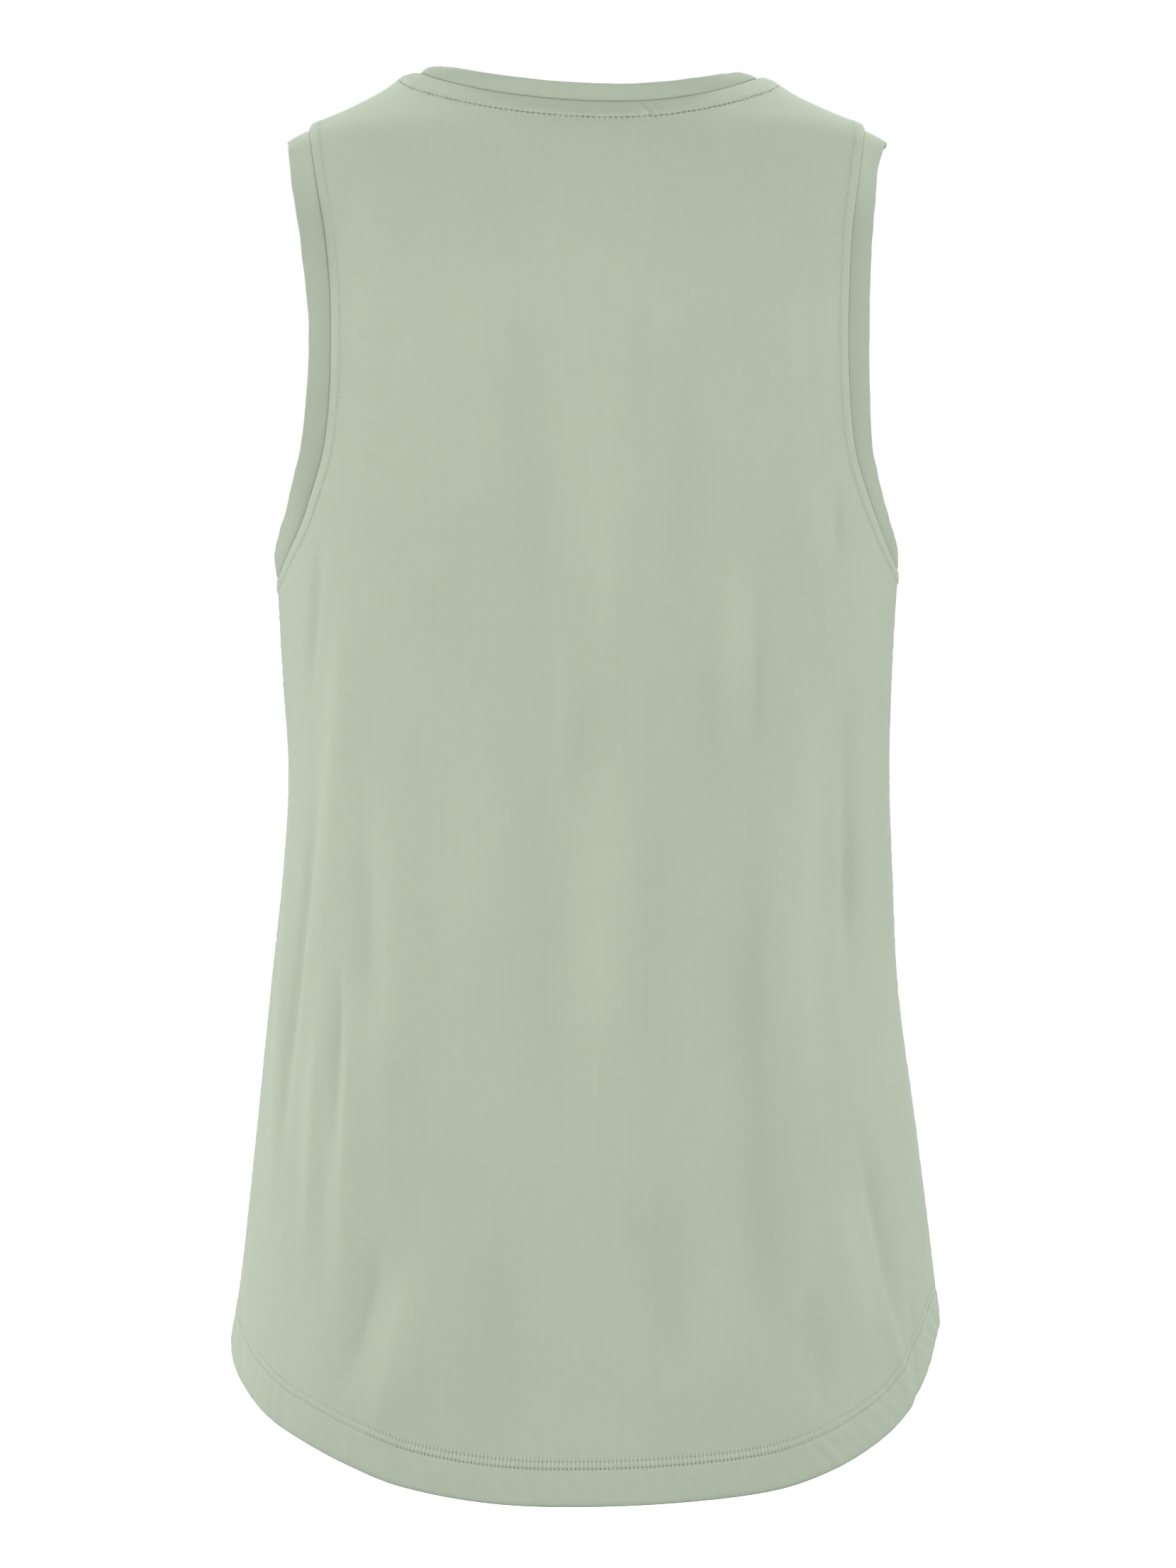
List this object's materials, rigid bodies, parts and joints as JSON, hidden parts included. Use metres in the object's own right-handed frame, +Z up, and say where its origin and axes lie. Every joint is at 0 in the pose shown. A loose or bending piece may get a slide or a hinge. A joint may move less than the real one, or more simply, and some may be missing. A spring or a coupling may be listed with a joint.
{
  "type": "singlet",
  "caption": "Hollow sleeveless jersey top, filled out as if worn, with a banded scoop neck, banded armholes and a curved hem that dips at the back.",
  "frame": {"origin": "middle of the neck opening, at the height of the shoulder seams' neck ends, where the wearer's shoulders hold the garment up", "axes": "+Z up, towards the neck; the garment's back faces -Y and its front +Y; +X is to the right as seen from behind, the wearer's right"},
  "size_m": [0.3592, 0.254, 0.7161],
  "materials": {
    "jersey": "fine matte single jersey in sage green, with a faint soft sheen",
    "binding": "the same sage green jersey, folded double, matte"
  },
  "bodies": {
    "root": {"back_panel": "jersey", "front_panel": "jersey", "neckband": "binding", "armband_left": "binding", "armband_right": "binding"}
  },
  "joints": []
}
